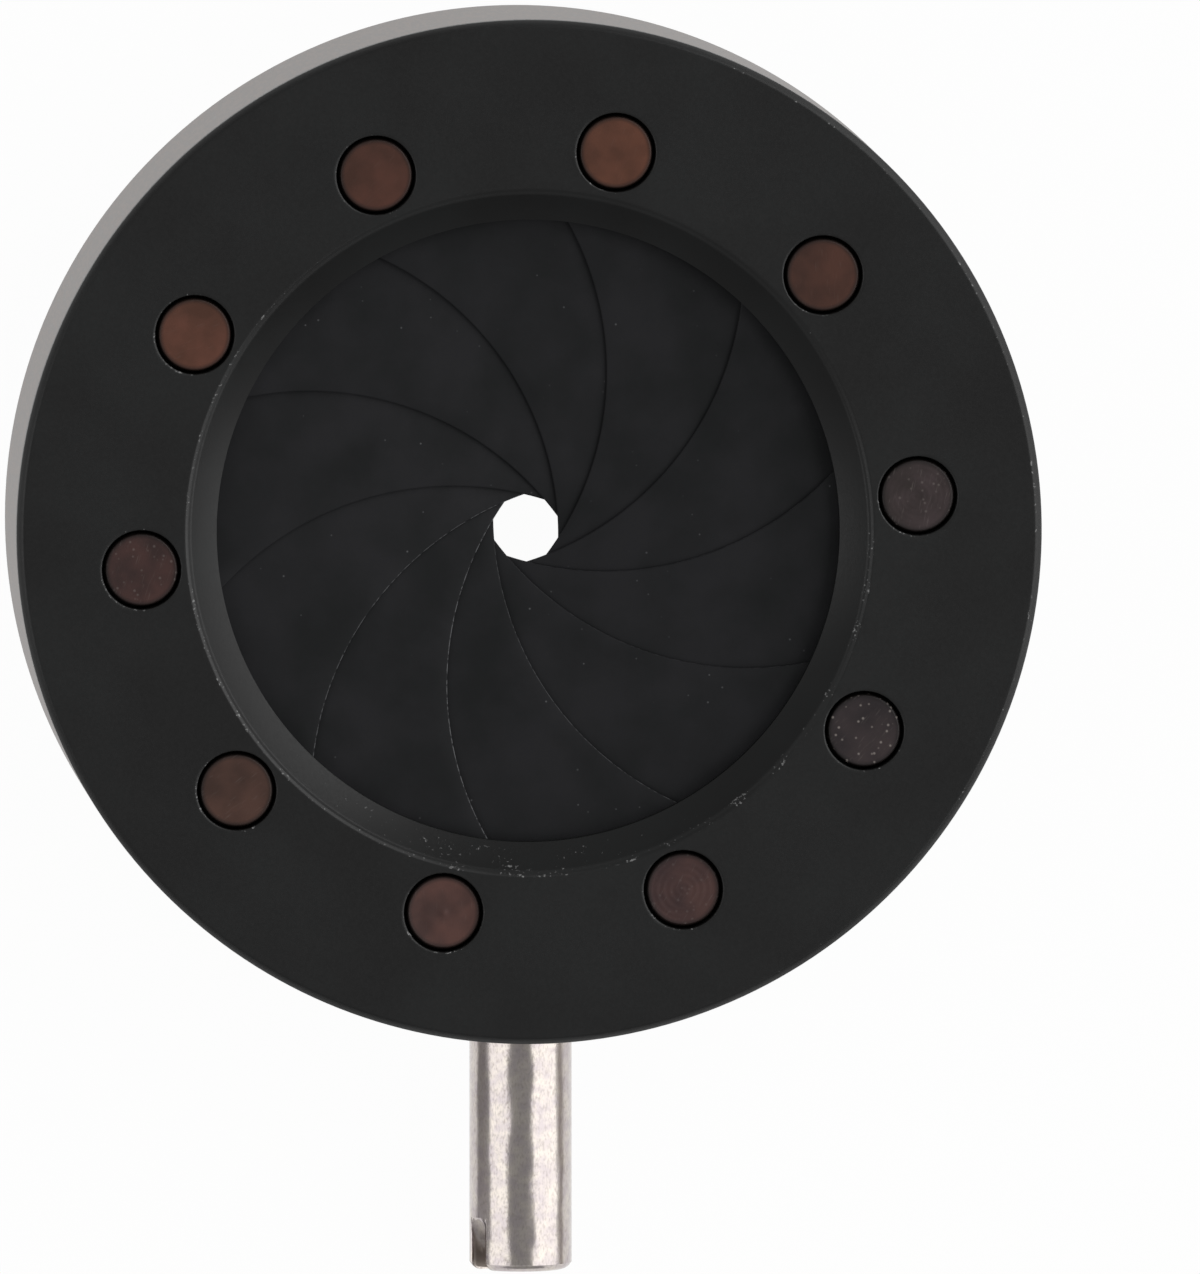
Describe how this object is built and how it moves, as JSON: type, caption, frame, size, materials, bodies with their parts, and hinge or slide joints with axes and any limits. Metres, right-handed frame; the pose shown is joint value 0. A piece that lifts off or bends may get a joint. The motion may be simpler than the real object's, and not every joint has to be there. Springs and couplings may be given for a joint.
{
  "type": "iris diaphragm",
  "caption": "Round iris diaphragm with curved leaves that a side lever opens and closes around a clear bore, in a short turned barrel.",
  "frame": {"origin": "centre of the aperture: on the optical axis, in the middle of the leaf space", "axes": "+Z out of the black front face along the optical axis, -Y along the lever with the iris closed, +X to the right seen from the front"},
  "size_m": [0.02, 0.0247, 0.005],
  "materials": {
    "black_anodised": "black anodised, satin",
    "turned_metal": "bare, finely turned",
    "leaf_steel": "blackened sheet, satin",
    "oxidised_pin": "oxidised brown, turned face",
    "lever_steel": "bare, drawn rod",
    "spring_steel": "oiled spring steel"
  },
  "bodies": {
    "housing": {"pivot_plate": "black_anodised", "housing_ring": "turned_metal", "snap_ring": "spring_steel"},
    "slotted_ring_and_lever": {"slotted_ring": "black_anodised", "lever": "lever_steel"},
    "leaf_01_with_studs": {"leaf_01": "leaf_steel", "pivot_stud_01": "oxidised_pin", "drive_stud_01": "oxidised_pin"},
    "leaf_02_with_studs": {"leaf_02": "leaf_steel", "pivot_stud_02": "oxidised_pin", "drive_stud_02": "oxidised_pin"},
    "leaf_03_with_studs": {"leaf_03": "leaf_steel", "pivot_stud_03": "oxidised_pin", "drive_stud_03": "oxidised_pin"},
    "leaf_04_with_studs": {"leaf_04": "leaf_steel", "pivot_stud_04": "oxidised_pin", "drive_stud_04": "oxidised_pin"},
    "leaf_05_with_studs": {"leaf_05": "leaf_steel", "pivot_stud_05": "oxidised_pin", "drive_stud_05": "oxidised_pin"},
    "leaf_06_with_studs": {"leaf_06": "leaf_steel", "pivot_stud_06": "oxidised_pin", "drive_stud_06": "oxidised_pin"},
    "leaf_07_with_studs": {"leaf_07": "leaf_steel", "pivot_stud_07": "oxidised_pin", "drive_stud_07": "oxidised_pin"},
    "leaf_08_with_studs": {"leaf_08": "leaf_steel", "pivot_stud_08": "oxidised_pin", "drive_stud_08": "oxidised_pin"},
    "leaf_09_with_studs": {"leaf_09": "leaf_steel", "pivot_stud_09": "oxidised_pin", "drive_stud_09": "oxidised_pin"},
    "leaf_10_with_studs": {"leaf_10": "leaf_steel", "pivot_stud_10": "oxidised_pin", "drive_stud_10": "oxidised_pin"}
  },
  "joints": [
    {"name": "lever_swing", "type": "hinge", "parent": "housing", "child": "slotted_ring_and_lever", "pos_m": [0, 0, 0], "axis": [0, 0, 1], "range_deg": [0, 82.92]},
    {"name": "leaf_01_turn", "type": "hinge", "parent": "housing", "child": "leaf_01_with_studs", "pos_m": [0.00757, 0.00069, 0], "axis": [0, 0, 1], "range_deg": [0, 42.19]},
    {"name": "leaf_02_turn", "type": "hinge", "parent": "housing", "child": "leaf_02_with_studs", "pos_m": [0.00572, 0.00501, 0], "axis": [0, 0, 1], "range_deg": [0, 42.19]},
    {"name": "leaf_03_turn", "type": "hinge", "parent": "housing", "child": "leaf_03_with_studs", "pos_m": [0.00168, 0.00741, 0], "axis": [0, 0, 1], "range_deg": [0, 42.19]},
    {"name": "leaf_04_turn", "type": "hinge", "parent": "housing", "child": "leaf_04_with_studs", "pos_m": [-0.00299, 0.00699, 0], "axis": [0, 0, 1], "range_deg": [0, 42.19]},
    {"name": "leaf_05_turn", "type": "hinge", "parent": "housing", "child": "leaf_05_with_studs", "pos_m": [-0.00653, 0.00389, 0], "axis": [0, 0, 1], "range_deg": [0, 42.19]},
    {"name": "leaf_06_turn", "type": "hinge", "parent": "housing", "child": "leaf_06_with_studs", "pos_m": [-0.00757, -0.00069, 0], "axis": [0, 0, 1], "range_deg": [0, 42.19]},
    {"name": "leaf_07_turn", "type": "hinge", "parent": "housing", "child": "leaf_07_with_studs", "pos_m": [-0.00572, -0.00501, 0], "axis": [0, 0, 1], "range_deg": [0, 42.19]},
    {"name": "leaf_08_turn", "type": "hinge", "parent": "housing", "child": "leaf_08_with_studs", "pos_m": [-0.00168, -0.00741, 0], "axis": [0, 0, 1], "range_deg": [0, 42.19]},
    {"name": "leaf_09_turn", "type": "hinge", "parent": "housing", "child": "leaf_09_with_studs", "pos_m": [0.00299, -0.00699, 0], "axis": [0, 0, 1], "range_deg": [0, 42.19]},
    {"name": "leaf_10_turn", "type": "hinge", "parent": "housing", "child": "leaf_10_with_studs", "pos_m": [0.00653, -0.00389, 0], "axis": [0, 0, 1], "range_deg": [0, 42.19]}
  ],
  "couplings": [
    {"joint": "leaf_01_turn", "follows": "lever_swing", "ratio": 0.50872},
    {"joint": "leaf_02_turn", "follows": "lever_swing", "ratio": 0.50872},
    {"joint": "leaf_03_turn", "follows": "lever_swing", "ratio": 0.50872},
    {"joint": "leaf_04_turn", "follows": "lever_swing", "ratio": 0.50872},
    {"joint": "leaf_05_turn", "follows": "lever_swing", "ratio": 0.50872},
    {"joint": "leaf_06_turn", "follows": "lever_swing", "ratio": 0.50872},
    {"joint": "leaf_07_turn", "follows": "lever_swing", "ratio": 0.50872},
    {"joint": "leaf_08_turn", "follows": "lever_swing", "ratio": 0.50872},
    {"joint": "leaf_09_turn", "follows": "lever_swing", "ratio": 0.50872},
    {"joint": "leaf_10_turn", "follows": "lever_swing", "ratio": 0.50872}
  ]
}
